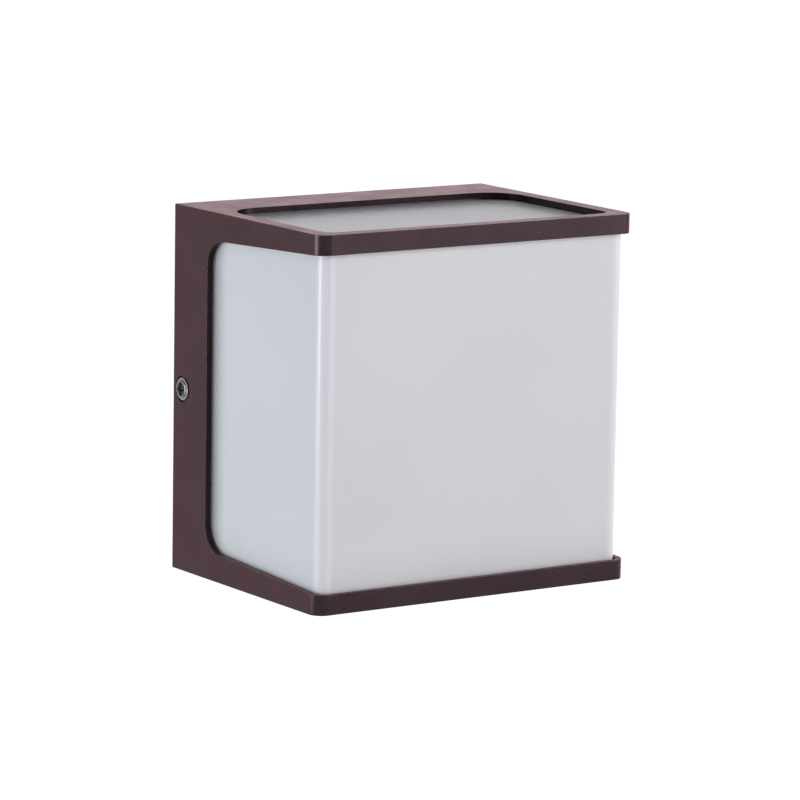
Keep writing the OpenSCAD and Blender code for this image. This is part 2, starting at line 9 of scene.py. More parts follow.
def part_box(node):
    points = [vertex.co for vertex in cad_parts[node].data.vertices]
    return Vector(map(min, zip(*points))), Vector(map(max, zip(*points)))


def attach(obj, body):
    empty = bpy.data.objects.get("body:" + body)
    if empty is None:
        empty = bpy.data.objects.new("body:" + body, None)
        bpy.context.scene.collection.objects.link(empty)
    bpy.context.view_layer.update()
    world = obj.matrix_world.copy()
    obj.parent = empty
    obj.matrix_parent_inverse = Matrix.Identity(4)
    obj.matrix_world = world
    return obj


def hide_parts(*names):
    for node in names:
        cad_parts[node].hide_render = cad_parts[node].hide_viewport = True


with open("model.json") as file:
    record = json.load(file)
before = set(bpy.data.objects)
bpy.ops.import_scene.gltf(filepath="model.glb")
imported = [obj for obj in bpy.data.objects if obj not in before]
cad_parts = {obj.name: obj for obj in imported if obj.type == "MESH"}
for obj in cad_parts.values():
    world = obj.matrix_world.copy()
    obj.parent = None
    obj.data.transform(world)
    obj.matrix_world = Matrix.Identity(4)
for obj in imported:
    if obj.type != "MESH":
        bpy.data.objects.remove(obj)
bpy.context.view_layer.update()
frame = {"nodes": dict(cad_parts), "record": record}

MM = 0.001
RECORD = frame["record"]
NODES = frame["nodes"]
SLOT_OF = {part["node"]: part["material_slot"] for part in RECORD["subparts"]}
BODY_OF = {n: body for body, members in RECORD["behaviour"]["bodies"].items() for n in members}

# Places of the colour sockets on Blender's Mix node
MIX_FIRST, MIX_SECOND, MIX_RESULT = 6, 7, 2

# The camera: a 36 mm wide sensor behind a long lens
LENS, SENSOR = 207.7, 36
CAMERA_PLACE = (-1.027, -1.5912, 0.3136)
CAMERA_FORWARD = (0.54754, 0.81951, -0.16909)
CAMERA_RIGHT = (0.83293, -0.55314, 0.01633)

# The studio: the light left in the dark gap on the left, the share left in the one on the right,
# and the colour of the light from each side
LEFT_GAP_LIGHT, RIGHT_GAP_SHARE = 0.05, 0.12
LEFT_TINT, RIGHT_TINT = (0.6, 0.69, 0.76), (1, 0.975, 1)
FILL, OVERHEAD, BACKDROP = 0.88, 0.25, 1.0
FLOOR_HEIGHT, FLOOR_HALF, FLOOR_GLOW = -1.62, 60, 0.75
LIGHT_AIM = (0, -0.05, 0)


# ---------------------------------------------------------------- camera, light and stage

def make_camera():
    """A long lens, a little above the light and to its left."""
    data = bpy.data.cameras.new("camera")
    data.lens = LENS
    data.sensor_width = SENSOR
    data.clip_end = 200
    camera = bpy.data.objects.new("camera", data)
    bpy.context.scene.collection.objects.link(camera)
    forward = Vector(CAMERA_FORWARD).normalized()
    right = Vector(CAMERA_RIGHT)
    right = (right - right.dot(forward) * forward).normalized()
    up = right.cross(forward)
    axes = Matrix((right, up, -forward)).transposed().to_4x4()
    camera.matrix_world = Matrix.Translation(CAMERA_PLACE) @ axes
    bpy.context.scene.camera = camera


def make_softbox(name, place, size, watts, colour):
    """A rectangular soft light that points at the middle of the object."""
    data = bpy.data.lights.new(name, "AREA")
    data.shape = "RECTANGLE"
    data.size, data.size_y = size
    data.energy = watts
    data.color = colour
    lamp = bpy.data.objects.new(name, data)
    bpy.context.scene.collection.objects.link(lamp)
    lamp.location = place
    aim = Vector(LIGHT_AIM) - Vector(place)
    lamp.rotation_euler = aim.to_track_quat("-Z", "Y").to_euler()


def make_world(fill, overhead, backdrop):
    """Even light from all round, cooler and weaker from the left and weaker from overhead, with
    a dark gap near the horizon on each side, and a white backdrop for the camera."""
    world = bpy.data.worlds.new("studio")
    bpy.context.scene.world = world
    world.use_nodes = True
    tree = world.node_tree
    light = tree.nodes["Background"]
    place = tree.nodes.new("ShaderNodeTexCoord")

    def towards(direction):
        """How far the view turns towards a direction, from -1 to 1."""
        dot = tree.nodes.new("ShaderNodeVectorMath")
        dot.operation = "DOT_PRODUCT"
        dot.inputs[1].default_value = Vector(direction).normalized()
        tree.links.new(place.outputs["Generated"], dot.inputs[0])
        return dot.outputs["Value"]

    def fade(value, start, end, low, high):
        """Maps start..end to low..high, with smooth ends."""
        node = tree.nodes.new("ShaderNodeMapRange")
        node.interpolation_type = "SMOOTHSTEP"
        tree.links.new(value, node.inputs["Value"])
        limits = {"From Min": start, "From Max": end, "To Min": low, "To Max": high}
        for socket, number in limits.items():
            node.inputs[socket].default_value = number
        return node.outputs["Result"]

    def product(first, *others):
        """All the values multiplied together."""
        for other in others:
            node = tree.nodes.new("ShaderNodeMath")
            node.operation = "MULTIPLY"
            tree.links.new(first, node.inputs[0])
            tree.links.new(other, node.inputs[1])
            first = node.outputs["Value"]
        return first

    up = towards((0, 0, 1))
    level = product(fade(up, 0.3, 0.55, 1, 0), fade(up, -0.3, -0.55, 1, 0))
    left_gap = product(fade(towards((-0.72, -0.69, 0)), 0.45, 0.8, 0, 1), level)
    right_gap = product(fade(towards((0.97, 0.25, 0)), 0.8, 0.93, 0, 1), level)
    strength = product(fade(left_gap, 0, 1, fill, LEFT_GAP_LIGHT),
                       fade(right_gap, 0, 1, 1, RIGHT_GAP_SHARE),
                       fade(up, 0.2, 0.9, 1, overhead))
    tree.links.new(strength, light.inputs["Strength"])
    tint = tree.nodes.new("ShaderNodeMix")
    tint.data_type = "RGBA"
    tree.links.new(fade(towards((1, -0.3, 0)), -0.7, 0.5, 0, 1), tint.inputs["Factor"])
    tint.inputs[MIX_FIRST].default_value = (*LEFT_TINT, 1)
    tint.inputs[MIX_SECOND].default_value = (*RIGHT_TINT, 1)
    tree.links.new(tint.outputs[MIX_RESULT], light.inputs["Color"])
    seen = tree.nodes.new("ShaderNodeBackground")
    seen.inputs["Color"].default_value = (1, 1, 1, 1)
    seen.inputs["Strength"].default_value = backdrop
    path = tree.nodes.new("ShaderNodeLightPath")
    mix = tree.nodes.new("ShaderNodeMixShader")
    tree.links.new(path.outputs["Is Camera Ray"], mix.inputs["Fac"])
    tree.links.new(light.outputs["Background"], mix.inputs[1])
    tree.links.new(seen.outputs["Background"], mix.inputs[2])
    tree.links.new(mix.outputs["Shader"], tree.nodes["World Output"].inputs["Surface"])


def make_floor(height, half):
    """A plain pale floor far below, white and faintly glowing towards the horizon."""
    mesh = bpy.data.meshes.new("floor")
    corners = [(x * half, y * half, height) for x, y in ((-1, -1), (1, -1), (1, 1), (-1, 1))]
    mesh.from_pydata(corners, [], [(0, 1, 2, 3)])
    floor = bpy.data.objects.new("floor", mesh)
    bpy.context.scene.collection.objects.link(floor)
    look = Look("floor", roughness=0.8, specular=0.2)
    away = look.add("ShaderNodeVectorMath")
    away.operation = "LENGTH"
    look.feed(away.inputs[0], look.place)
    far = look.span(away.outputs["Value"], 1.5, 6)
    near_tone = look.mix(look.noise(0.6, 3), (0.74, 0.74, 0.74), (0.78, 0.78, 0.78))
    look.drive("Base Color", look.mix(far, near_tone, (0.94, 0.94, 0.94)))
    look.drive("Emission Color", look.mix(far, (0, 0, 0), (1, 1, 1)))
    look.drive("Emission Strength", FLOOR_GLOW)
    mesh.materials.append(look.mat)


# ---------------------------------------------------------------- material nodes

SOCKETS = {
    "roughness": "Roughness", "metallic": "Metallic", "specular": "Specular IOR Level",
    "coat": "Coat Weight", "coat_roughness": "Coat Roughness",
    "subsurface": "Subsurface Weight", "subsurface_scale": "Subsurface Scale",
    "sheen": "Sheen Weight", "sheen_roughness": "Sheen Roughness",
}


class Look:
    """A Principled material and the nodes that give it colour, grain, wear and painted light."""

    def __init__(self, name, **plain):
        self.mat = bpy.data.materials.new(name)
        self.mat.use_nodes = True
        self.tree = self.mat.node_tree
        self.shader = self.tree.nodes["Principled BSDF"]
        for word, value in plain.items():
            self.shader.inputs[SOCKETS[word]].default_value = value
        self.place = self.add("ShaderNodeTexCoord").outputs["Object"]
        self.normal = None

    def add(self, kind):
        return self.tree.nodes.new(kind)

    def feed(self, socket, value):
        """Gives a socket a number, a colour or another node's output."""
        if isinstance(value, (int, float)):
            socket.default_value = value
        elif isinstance(value, tuple):
            socket.default_value = (*value, 1)
        else:
            self.tree.links.new(value, socket)

    def drive(self, name, value):
        """Gives one of the shader's own sockets its value."""
        self.feed(self.shader.inputs[name], value)

    def noise(self, scale, detail, roughness=0.5):
        """Cloudy noise from 0 to 1; scale is in waves per metre."""
        node = self.add("ShaderNodeTexNoise")
        self.feed(node.inputs["Vector"], self.place)
        node.inputs["Scale"].default_value = scale
        node.inputs["Detail"].default_value = detail
        node.inputs["Roughness"].default_value = roughness
        return node.outputs["Fac"]

    def cells(self, scale):
        """Distance to the nearest of many scattered points; scale is in points per metre."""
        node = self.add("ShaderNodeTexVoronoi")
        self.feed(node.inputs["Vector"], self.place)
        node.inputs["Scale"].default_value = scale
        return node.outputs["Distance"]

    def span(self, value, low, high, to_low=0.0, to_high=1.0):
        """Maps low..high to to_low..to_high, with smooth ends."""
        node = self.add("ShaderNodeMapRange")
        node.interpolation_type = "SMOOTHSTEP"
        self.feed(node.inputs["Value"], value)
        node.inputs["From Min"].default_value = low
        node.inputs["From Max"].default_value = high
        node.inputs["To Min"].default_value = to_low
        node.inputs["To Max"].default_value = to_high
        return node.outputs["Result"]

    def combine(self, operation, a, b=0):
        """The result of a Math node's operation on one or two values."""
        node = self.add("ShaderNodeMath")
        node.operation = operation
        self.feed(node.inputs[0], a)
        self.feed(node.inputs[1], b)
        return node.outputs["Value"]

    def mix(self, share, first, second):
        """A colour between first and second."""
        node = self.add("ShaderNodeMix")
        node.data_type = "RGBA"
        self.feed(node.inputs["Factor"], share)
        self.feed(node.inputs[MIX_FIRST], first)
        self.feed(node.inputs[MIX_SECOND], second)
        return node.outputs[MIX_RESULT]

    def edges(self, radius):
        """1 on convex and concave edges, 0 on flat faces; radius is how far the edge mark reaches.
        """
        soft = self.add("ShaderNodeBevel")
        soft.samples = 4
        soft.inputs["Radius"].default_value = radius
        flat = self.add("ShaderNodeNewGeometry")
        node = self.add("ShaderNodeVectorMath")
        node.operation = "DOT_PRODUCT"
        self.feed(node.inputs[0], soft.outputs["Normal"])
        self.feed(node.inputs[1], flat.outputs["Normal"])
        return self.span(node.outputs["Value"], 0.999, 0.93)

    def bump(self, height, depth, strength):
        """Adds relief on top of what is there; depth is in metres."""
        node = self.add("ShaderNodeBump")
        self.feed(node.inputs["Height"], height)
        node.inputs["Distance"].default_value = depth
        node.inputs["Strength"].default_value = strength
        if self.normal is not None:
            self.feed(node.inputs["Normal"], self.normal)
        self.normal = node.outputs["Normal"]
        self.feed(self.shader.inputs["Normal"], self.normal)


# ---------------------------------------------------------------- materials

def powder_coat(name, dark, base, fleck_and_edge_tone, sheen):
    """Satin powder coat: fine orange peel, faint mottling, flecks and paler patches along its
    edges.
    """
    look = Look(name, metallic=0.9, specular=0.3, coat=0.23, coat_roughness=0.14)
    look.shader.inputs["Specular Tint"].default_value = (*sheen, 1)
    cloud = look.noise(38, 4, 0.6)
    fleck = look.span(look.noise(1500, 2), 0.56, 0.72)
    colour = look.mix(look.span(cloud, 0.35, 0.7), dark, base)
    colour = look.mix(look.combine("MULTIPLY", fleck, 0.14), colour, fleck_and_edge_tone)
    # Paler in patches along the edges, in the same tone as the flecks
    patches = look.span(look.noise(260, 3), 0.42, 0.66)
    paler_edges = look.combine("MULTIPLY", look.edges(0.6 * MM), patches)
    colour = look.mix(look.combine("MULTIPLY", paler_edges, 0.4), colour, fleck_and_edge_tone)
    look.drive("Base Color", colour)
    rough = look.span(look.noise(90, 3), 0.3, 0.7, 0.25, 0.33)
    glossier = look.combine("MULTIPLY", fleck, 0.08)
    look.drive("Roughness", look.combine("SUBTRACT", rough, glossier))
    look.bump(look.noise(900, 2, 0.55), 0.03 * MM, 0.5)
    look.bump(look.noise(2600, 1), 0.012 * MM, 0.5)
    return look.mat


# Where the diffuser is painted darker or paler: the reach and strength of the painted shade towards
# its covered back edge and its foot, the reach of the painted highlight along its front corners,
# their tones
BACK_SHADE_FROM, BACK_SHADE_TO, BACK_SHADE = 18 * MM, 3 * MM, 0.62
FOOT_SHADE_REACH, FOOT_SHADE = 22 * MM, 0.16
CORNER_HIGHLIGHT_FROM, CORNER_HIGHLIGHT_TO = 6.5 * MM, 2.5 * MM
PAINTED_SHADE_TONE, PAINTED_HIGHLIGHT_TONE = (0.2, 0.2, 0.23), (0.765, 0.755, 0.8)


def opal_plastic(name, base, shade, painted_light_node=None):
    """Milky plastic that lets light in a little way, with a satin skin; its last argument names a
    node, and that node gets painted shade towards its covered back edge and its foot, and a painted
    highlight along its front corners."""
    look = Look(name, specular=0.5, subsurface=0.25, subsurface_scale=2.5 * MM)
    look.shader.inputs["Subsurface Radius"].default_value = (1.0, 1.0, 1.0)
    cloud = look.span(look.noise(16, 3, 0.5), 0.3, 0.75)
    colour = look.mix(cloud, base, shade)
    if painted_light_node:
        low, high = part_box(painted_light_node)
        split = look.add("ShaderNodeSeparateXYZ")
        look.feed(split.inputs[0], look.place)
        # Painted shade: darker towards the covered back edge and towards the foot
        back = look.span(split.outputs["Y"], high.y - BACK_SHADE_FROM, high.y - BACK_SHADE_TO,
                         0, BACK_SHADE)
        foot = look.span(split.outputs["Z"], low.z + FOOT_SHADE_REACH, low.z, 0, FOOT_SHADE)
        colour = look.mix(look.combine("MAXIMUM", back, foot), colour, PAINTED_SHADE_TONE)
        # Painted highlight: paler along the front corners
        sideways = look.combine("ABSOLUTE", split.outputs["X"])
        outwards = look.combine("SUBTRACT", sideways, split.outputs["Y"])
        corner = high.x - low.y
        corner_highlight = look.span(outwards, corner - CORNER_HIGHLIGHT_FROM, corner - CORNER_HIGHLIGHT_TO)
        colour = look.mix(corner_highlight, colour, PAINTED_HIGHLIGHT_TONE)
    look.drive("Base Color", colour)
    look.drive("Roughness", look.span(look.noise(240, 3), 0.3, 0.7, 0.2, 0.26))
    look.bump(look.noise(90, 2, 0.4), 0.02 * MM, 0.2)
    return look.mat


def worked_metal(name, base, dark, roughness, edge_highlight=None):
    """Plated or turned metal: fine tool marks, dull patches and an optional painted edge highlight.
    """
    look = Look(name, metallic=1.0)
    cloud = look.span(look.noise(180, 4, 0.6), 0.35, 0.75)
    marks = look.noise(1400, 3, 0.6)
    colour = look.mix(look.combine("MULTIPLY", cloud, 0.5), base, dark)
    colour = look.mix(look.span(marks, 0.62, 0.8, 0, 0.45), colour, dark)
    # Painted highlight along the edges, where a tone for it is given
    if edge_highlight:
        colour = look.mix(look.edges(0.25 * MM), colour, edge_highlight)
    look.drive("Base Color", colour)
    look.drive("Roughness", look.span(marks, 0.3, 0.75, roughness - 0.07, roughness + 0.12))
    look.bump(marks, 0.012 * MM, 0.35)
    return look.mat


def cast_metal(name, base, dark):
    """Bead-blasted casting: matt, finely pitted, brighter along its edges."""
    look = Look(name, metallic=0.85)
    pits = look.span(look.cells(1700), 0.05, 0.5)
    cloud = look.span(look.noise(70, 4), 0.35, 0.7)
    colour = look.mix(cloud, base, dark)
    paler_edges = look.combine("MULTIPLY", look.edges(0.5 * MM), 0.5)
    colour = look.mix(paler_edges, colour, (0.75, 0.76, 0.77))
    look.drive("Base Color", colour)
    look.drive("Roughness", look.span(look.noise(500, 3), 0.3, 0.7, 0.5, 0.64))
    look.bump(pits, 0.03 * MM, 0.5)
    look.bump(look.noise(600, 3), 0.02 * MM, 0.4)
    return look.mat


def moulded_plastic(name, base, shade, roughness, subsurface=0.05):
    """Moulded plastic with a fine spark-eroded texture."""
    look = Look(name, specular=0.5, subsurface=subsurface, subsurface_scale=1 * MM)
    look.drive("Base Color", look.mix(look.span(look.noise(60, 3), 0.35, 0.7), base, shade))
    patches = look.noise(700, 2)
    look.drive("Roughness", look.span(patches, 0.3, 0.7, roughness - 0.05, roughness + 0.08))
    look.bump(look.noise(1800, 2), 0.012 * MM, 0.5)
    return look.mat


def glazed_porcelain(name):
    """White glaze with a slight roll, tiny specks and a creamier body under it."""
    look = Look(name, roughness=0.12, specular=0.5, coat=0.6, coat_roughness=0.06,
                subsurface=0.12, subsurface_scale=1.5 * MM)
    cloud = look.span(look.noise(90, 3), 0.35, 0.7)
    colour = look.mix(cloud, (0.84, 0.82, 0.77), (0.79, 0.765, 0.7))
    speck = look.span(look.cells(420), 0.045, 0.02)
    colour = look.mix(look.combine("MULTIPLY", speck, 0.35), colour, (0.32, 0.26, 0.2))
    look.drive("Base Color", colour)
    look.bump(look.noise(170, 2), 0.05 * MM, 0.3)
    return look.mat


def rubber(name, base, shade, roughness=0.62):
    """Moulded rubber with a dusty bloom."""
    look = Look(name, specular=0.35, sheen=0.15, sheen_roughness=0.5)
    cloud = look.span(look.noise(160, 4, 0.6), 0.35, 0.75)
    look.drive("Base Color", look.mix(cloud, base, shade))
    patches = look.noise(400, 3)
    look.drive("Roughness", look.span(patches, 0.3, 0.7, roughness - 0.08, roughness + 0.1))
    look.bump(look.noise(1300, 3), 0.02 * MM, 0.5)
    return look.mat


def cell_foam(name, base, shade):
    """Closed-cell foam: small round cells all over."""
    look = Look(name, specular=0.25, roughness=0.85)
    cell = look.cells(1500)
    look.drive("Base Color", look.mix(look.span(cell, 0.1, 0.6), shade, base))
    look.bump(look.span(cell, 0.0, 0.6), 0.12 * MM, 0.7)
    look.bump(look.noise(200, 3), 0.08 * MM, 0.4)
    return look.mat


def wire_sleeve(name, base, shade):
    """Drawn PVC sleeve, satin, with faint marks along it."""
    look = Look(name, specular=0.5)
    look.drive("Base Color", look.mix(look.span(look.noise(220, 3), 0.35, 0.7), base, shade))
    look.drive("Roughness", look.span(look.noise(500, 3), 0.3, 0.7, 0.3, 0.42))
    look.bump(look.noise(900, 2), 0.01 * MM, 0.5)
    return look.mat


def make_materials():
    """Each finish by its name: the record's material slots, and others used with them."""
    made = {}

    def add(kind, name, *values):
        made[name] = kind(name, *values)

    add(powder_coat, "bronze_powder", (0.0235, 0.0122, 0.016), (0.031, 0.0168, 0.0218),
        (0.19, 0.12, 0.12), (0.95, 0.62, 0.64))
    add(opal_plastic, "opal", (0.655, 0.66, 0.675), (0.625, 0.635, 0.655), "diffuser")
    # The last tone is a painted highlight along the edges
    add(worked_metal, "stainless", (0.25, 0.23, 0.235), (0.15, 0.135, 0.14), 0.27,
        (0.95, 0.92, 0.93))
    # A darker copy of the stainless: painted shade inside the screws' cross recess
    add(worked_metal, "stainless_recess_shade", (0.05, 0.045, 0.048), (0.03, 0.027, 0.03), 0.45)
    add(rubber, "black_rubber", (0.018, 0.018, 0.019), (0.035, 0.035, 0.036))
    add(rubber, "grey_rubber", (0.13, 0.13, 0.135), (0.18, 0.18, 0.18))
    add(rubber, "silicone", (0.72, 0.73, 0.74), (0.62, 0.64, 0.65), 0.4)
    add(cell_foam, "epdm_foam", (0.03, 0.03, 0.032), (0.012, 0.012, 0.013))
    add(cast_metal, "cast_grey", (0.42, 0.43, 0.44), (0.33, 0.34, 0.35))
    add(moulded_plastic, "block_plastic", (0.74, 0.71, 0.62), (0.68, 0.65, 0.56), 0.38)
    add(worked_metal, "brass", (0.68, 0.47, 0.17), (0.42, 0.27, 0.09), 0.26)
    add(worked_metal, "zinc", (0.6, 0.62, 0.66), (0.4, 0.41, 0.4), 0.24)
    add(worked_metal, "tinned_copper", (0.66, 0.65, 0.62), (0.42, 0.4, 0.36), 0.3)
    add(glazed_porcelain, "porcelain")
    add(wire_sleeve, "lead_brown", (0.09, 0.03, 0.012), (0.06, 0.02, 0.01))
    add(wire_sleeve, "lead_blue", (0.012, 0.055, 0.3), (0.01, 0.04, 0.22))
    add(wire_sleeve, "lead_green", (0.05, 0.25, 0.02), (0.035, 0.19, 0.02))
    add(wire_sleeve, "lead_yellow", (0.75, 0.56, 0.02), (0.66, 0.48, 0.02))
    add(moulded_plastic, "black_glass", (0.012, 0.01, 0.014), (0.02, 0.016, 0.02), 0.14, 0)
    add(worked_metal, "nickel", (0.66, 0.62, 0.55), (0.42, 0.39, 0.34), 0.22)
    add(moulded_plastic, "bulb_plastic", (0.82, 0.82, 0.8), (0.77, 0.77, 0.75), 0.36)
    add(moulded_plastic, "led_board", (0.78, 0.78, 0.74), (0.7, 0.68, 0.5), 0.45)
    add(opal_plastic, "bulb_opal", (0.86, 0.86, 0.84), (0.83, 0.83, 0.81))
    return made


# ---------------------------------------------------------------- finishing the CAD nodes

# Width of the rounded edges that each node gets, in millimetres
EDGE_WIDTH = {
    "frame": 0.5, "diffuser": 0.25, "back_plate": 0.4, "lampholder_body": 0.35,
    "terminal_block": 0.3, "holder_bracket": 0.2, "clamp_nuts": 0.2, "cable_grommet": 0.2,
    "wall_gasket": 0.2, "holder_terminals": 0.2, "bulb_housing": 0.2,
}
USUAL_EDGE = 0.08
SCREW_EDGE = 0.05                    # on the side screws that are made here
SHARP_ANGLE = math.radians(32)       # an edge that turns more than this is rounded
FLAT_ANGLE = math.radians(0.4)       # faces that turn less than this are merged
WELD_DISTANCE = 0.002 * MM
# Flat sheets with many holes shade cleaner with their triangles left as they are
KEEP_TRIANGLES = {"back_plate", "wall_gasket"}


def round_edges(piece, width):
    """Rounds a piece's sharp edges, width in millimetres, and evens out its shading. It returns
    the modifier that does the second."""
    bevel = piece.modifiers.new("round_edges", "BEVEL")
    bevel.width = width * MM
    bevel.segments = 2
    bevel.limit_method = "ANGLE"
    bevel.angle_limit = SHARP_ANGLE
    shade = piece.modifiers.new("shading", "WEIGHTED_NORMAL")
    shade.keep_sharp = False
    return shade


def finish_node(node):
    """Welds the node's faces, rounds its sharp edges and shades it smooth."""
    piece = NODES[node]
    for face in piece.data.polygons:
        face.use_smooth = True
    weld = piece.modifiers.new("weld", "WELD")
    weld.merge_threshold = WELD_DISTANCE
    if node not in KEEP_TRIANGLES:
        merge = piece.modifiers.new("flat_faces", "DECIMATE")
        merge.decimate_type = "DISSOLVE"
        merge.angle_limit = FLAT_ANGLE
    round_edges(piece, EDGE_WIDTH.get(node, USUAL_EDGE)).weight = 80


def paint(piece, material):
    """Puts one material in every slot of a piece."""
    for slot in piece.material_slots:
        slot.material = material


# ---------------------------------------------------------------- pieces that replace CAD nodes

def new_piece(name, form, node, *more):
    """Adds a bmesh as a piece in place of one CAD node, with that node's body and finish."""
    mesh = bpy.data.meshes.new(name)
    bmesh.ops.recalc_face_normals(form, faces=form.faces)
    form.to_mesh(mesh)
    form.free()
    for face in mesh.polygons:
        face.use_smooth = True
    piece = bpy.data.objects.new(name, mesh)
    bpy.context.scene.collection.objects.link(piece)
    for material in (MATERIALS[SLOT_OF[node]], *more):
        mesh.materials.append(material)
    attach(piece, BODY_OF[node])
    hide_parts(node)
    return piece


def ring(form, radius, height, sides):
    """A ring of points round Z; radius is a number or a function of the share of a turn."""
    points = []
    for k in range(sides):
        turn = k / sides
        r = radius(turn) if callable(radius) else radius
        angle = math.tau * turn
        points.append(form.verts.new((r * math.cos(angle), r * math.sin(angle), height)))
    return points


def join_rings(form, rings, closed=False):
    """Faces between each ring and the next; closed joins the last to the first."""
    following = rings[1:] + rings[:1] if closed else rings[1:]
    for a, b in zip(rings, following):
        for k in range(len(a)):
            n = (k + 1) % len(a)
            form.faces.new((a[k], a[n], b[n], b[k]))


def rings_up(form, radius_at, pitch, low, high, sides, steps):
    """Rings from low to high, steps to a pitch, whose radius_at(share of a pitch, height) winds
    up like a screw."""
    count = math.ceil((high - low) / pitch * steps)
    rings = []
    for i in range(count + 1):
        z = low + (high - low) * i / count
        rings.append(ring(form, lambda turn, z=z: radius_at((z / pitch - turn) % 1, z), z, sides))
    return rings


def ramp(value, start, end):
    """0 before start, 1 after end, smooth between."""
    t = min(max((value - start) / (end - start), 0), 1)
    return t * t * (3 - 2 * t)


def cut(piece, form):
    """Takes a bmesh out of a piece."""
    bmesh.ops.recalc_face_normals(form, faces=form.faces)
    mesh = bpy.data.meshes.new("cutter")
    form.to_mesh(mesh)
    form.free()
    cutter = bpy.data.objects.new("cutter", mesh)
    bpy.context.scene.collection.objects.link(cutter)
    hollow = piece.modifiers.new("hollow", "BOOLEAN")
    hollow.operation = "DIFFERENCE"
    hollow.solver = "EXACT"
    hollow.object = cutter
    bpy.context.view_layer.update()
    evaluated = piece.evaluated_get(bpy.context.evaluated_depsgraph_get())
    result = bpy.data.meshes.new_from_object(evaluated)
    piece.modifiers.clear()
    old = piece.data
    piece.data = result
    bpy.data.meshes.remove(old)
    bpy.data.objects.remove(cutter)
    bpy.data.meshes.remove(mesh)


def side_screw_body(length, collar_r):
    """The turned part of a side screw along Z, with its seat at 0; returns it with its top."""
    collar_t, dome_h, dome_r = 0.8 * MM, 0.7 * MM, collar_r - 0.8 * MM
    flat_r, crown_r = dome_r - 0.7 * MM, 0.9 * MM      # where the dome's curve ends, and its middle
    top = collar_t + dome_h
    tip = top - length
    pitch, root_r, crest_r, point_r = 0.7 * MM, 1.6 * MM, 1.99 * MM, 1.45 * MM
    root_share, flank_share = 0.14, 0.7
    runout, point_slope = 0.5 * MM, 0.9
    edge, fillet = 0.12 * MM, 0.06 * MM
    sides, thread_steps, dome_steps = 48, 9, 12

    def thread(share, z):
        crest = min(max((1 - abs(2 * share - 1) - root_share) / flank_share, 0), 1)
        fade = ramp(z, 0, -runout) if z > -runout else 1
        lead_in = point_r + (z - tip) * point_slope
        return min(root_r + (crest_r - root_r) * crest * fade, lead_in)

    form = bmesh.new()
    rings = rings_up(form, thread, pitch, tip, 0, sides, thread_steps)
    for r, z in ((collar_r - edge, 0), (collar_r, edge), (collar_r, collar_t - edge),
                 (collar_r - edge, collar_t), (dome_r + fillet, collar_t),
                 (dome_r, collar_t + fillet)):
        rings.append(ring(form, r, z, sides))
    shoulder = dome_h * 0.75
    for i in range(1, dome_steps + 1):
        a = math.pi / 2 * i / dome_steps
        rings.append(ring(form, flat_r + (dome_r - flat_r) * math.cos(a),
                          top - shoulder + (shoulder - edge) * math.sin(a), sides))
    rings.append(ring(form, crown_r, top, sides))
    join_rings(form, rings)
    form.faces.new(rings[0])
    form.faces.new(rings[-1])
    return form, top


def cut_cross_recess(piece, top):
    """Cuts two tapered arms and a tapered core down from the top, and gives what they leave the
    piece's second material, a darker copy of the metal that is painted shade in the recess."""
    above = 0.5 * MM
    reach, arm_w, deep = 2.75 * MM, 0.62 * MM, 1.2 * MM
    layers_at = ((top + above, reach * 1.06, arm_w * 1.16),
                 (top - deep, reach * 0.62, arm_w * 0.62))
    for turn in range(2):
        arm = bmesh.new()
        layers = []
        for z, r, w in layers_at:
            corners = ((-r, -w), (r, -w), (r, w), (-r, w))
            layers.append([arm.verts.new((y, x, z) if turn else (x, y, z)) for x, y in corners])
        join_rings(arm, layers)
        arm.faces.new(layers[0])
        arm.faces.new(layers[1])
        cut(piece, arm)
    core = bmesh.new()
    core_rings = [ring(core, r, top + z, 24)
                  for z, r in ((above, 1.4 * MM), (-1.1 * MM, 0.9 * MM), (-1.6 * MM, 0.1 * MM))]
    join_rings(core, core_rings)
    core.faces.new(core_rings[0])
    core.faces.new(core_rings[-1])
    cut(piece, core)
    # Painted shade: the faces inside the recess take the darker copy
    skin = 0.02 * MM
    for face in piece.data.polygons:
        if 0 < face.center.z < top - skin and face.center.xy.length < reach:
            face.material_index = 1


def make_side_screw(name, node, side):
    """M4 screw with a collar, a domed head, a cross recess and a real helical thread. It is made
    along Z with its seat at 0, then laid along X; side is -1 on the left and 1 on the right."""
    low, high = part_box(node)
    form, top = side_screw_body(high.x - low.x, (high.z - low.z) / 2)
    piece = new_piece(name, form, node, MATERIALS["stainless_recess_shade"])
    cut_cross_recess(piece, top)
    seat = Vector((side * (max(abs(low.x), abs(high.x)) - top), (low.y + high.y) / 2,
                   (low.z + high.z) / 2))
    piece.data.transform(Matrix.Translation(seat) @ Matrix.Rotation(side * math.pi / 2, 4, "Y"))
    for face in piece.data.polygons:
        face.use_smooth = True
    piece.data.update()
    round_edges(piece, SCREW_EDGE)


THREAD_PITCH = 3.629 * MM            # the lamp thread's pitch
THREAD_RUN = 1.8 * MM                # how far it takes to run in or out


def thread_wave(share, z, depth, start, end):
    """Height of a rounded thread that runs in and out at its ends."""
    run_in = ramp(z, start, start + THREAD_RUN)
    run_out = ramp(z, end - THREAD_RUN, end)
    return depth * (1 - math.cos(math.tau * share)) / 2 * run_in * (1 - run_out)


